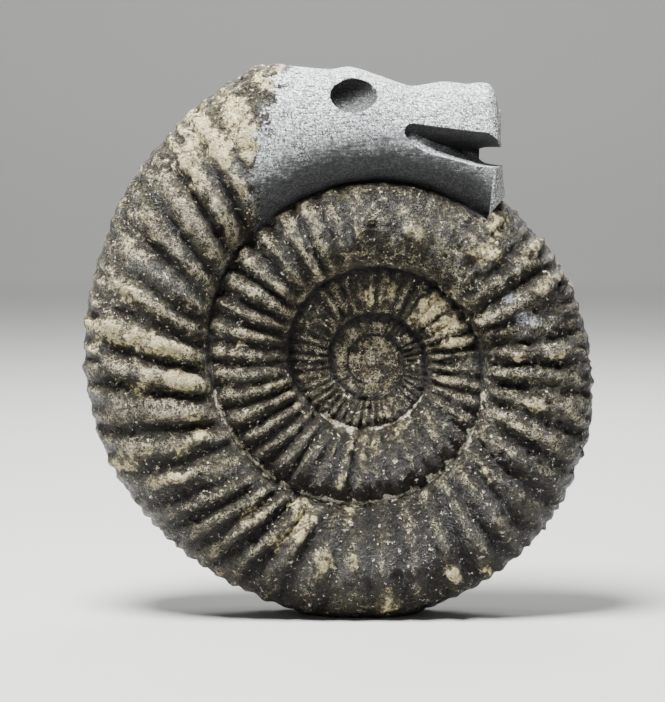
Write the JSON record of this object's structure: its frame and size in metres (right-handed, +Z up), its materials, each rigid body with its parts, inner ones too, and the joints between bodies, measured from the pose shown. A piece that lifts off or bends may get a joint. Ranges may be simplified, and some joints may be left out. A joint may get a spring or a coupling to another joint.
{
  "type": "snakestone ammonite fossil",
  "caption": "Coiled, ribbed ammonite fossil with a snake's head carved on its mouth end, standing upright on a small flat ground spot.",
  "frame": {"origin": "middle of the bounding box at its bottom, on the plane of the small flat foot", "axes": "+Z up, +X towards the snake's snout as seen from the front, the coil's front face looks along -Y"},
  "size_m": [0.0692, 0.019, 0.0745],
  "materials": {
    "fossil_limestone": "dull waxy brown-grey limestone with pale crust, head filed to a matt light grey"
  },
  "bodies": {
    "root": {"snakestone": "fossil_limestone"}
  },
  "joints": []
}
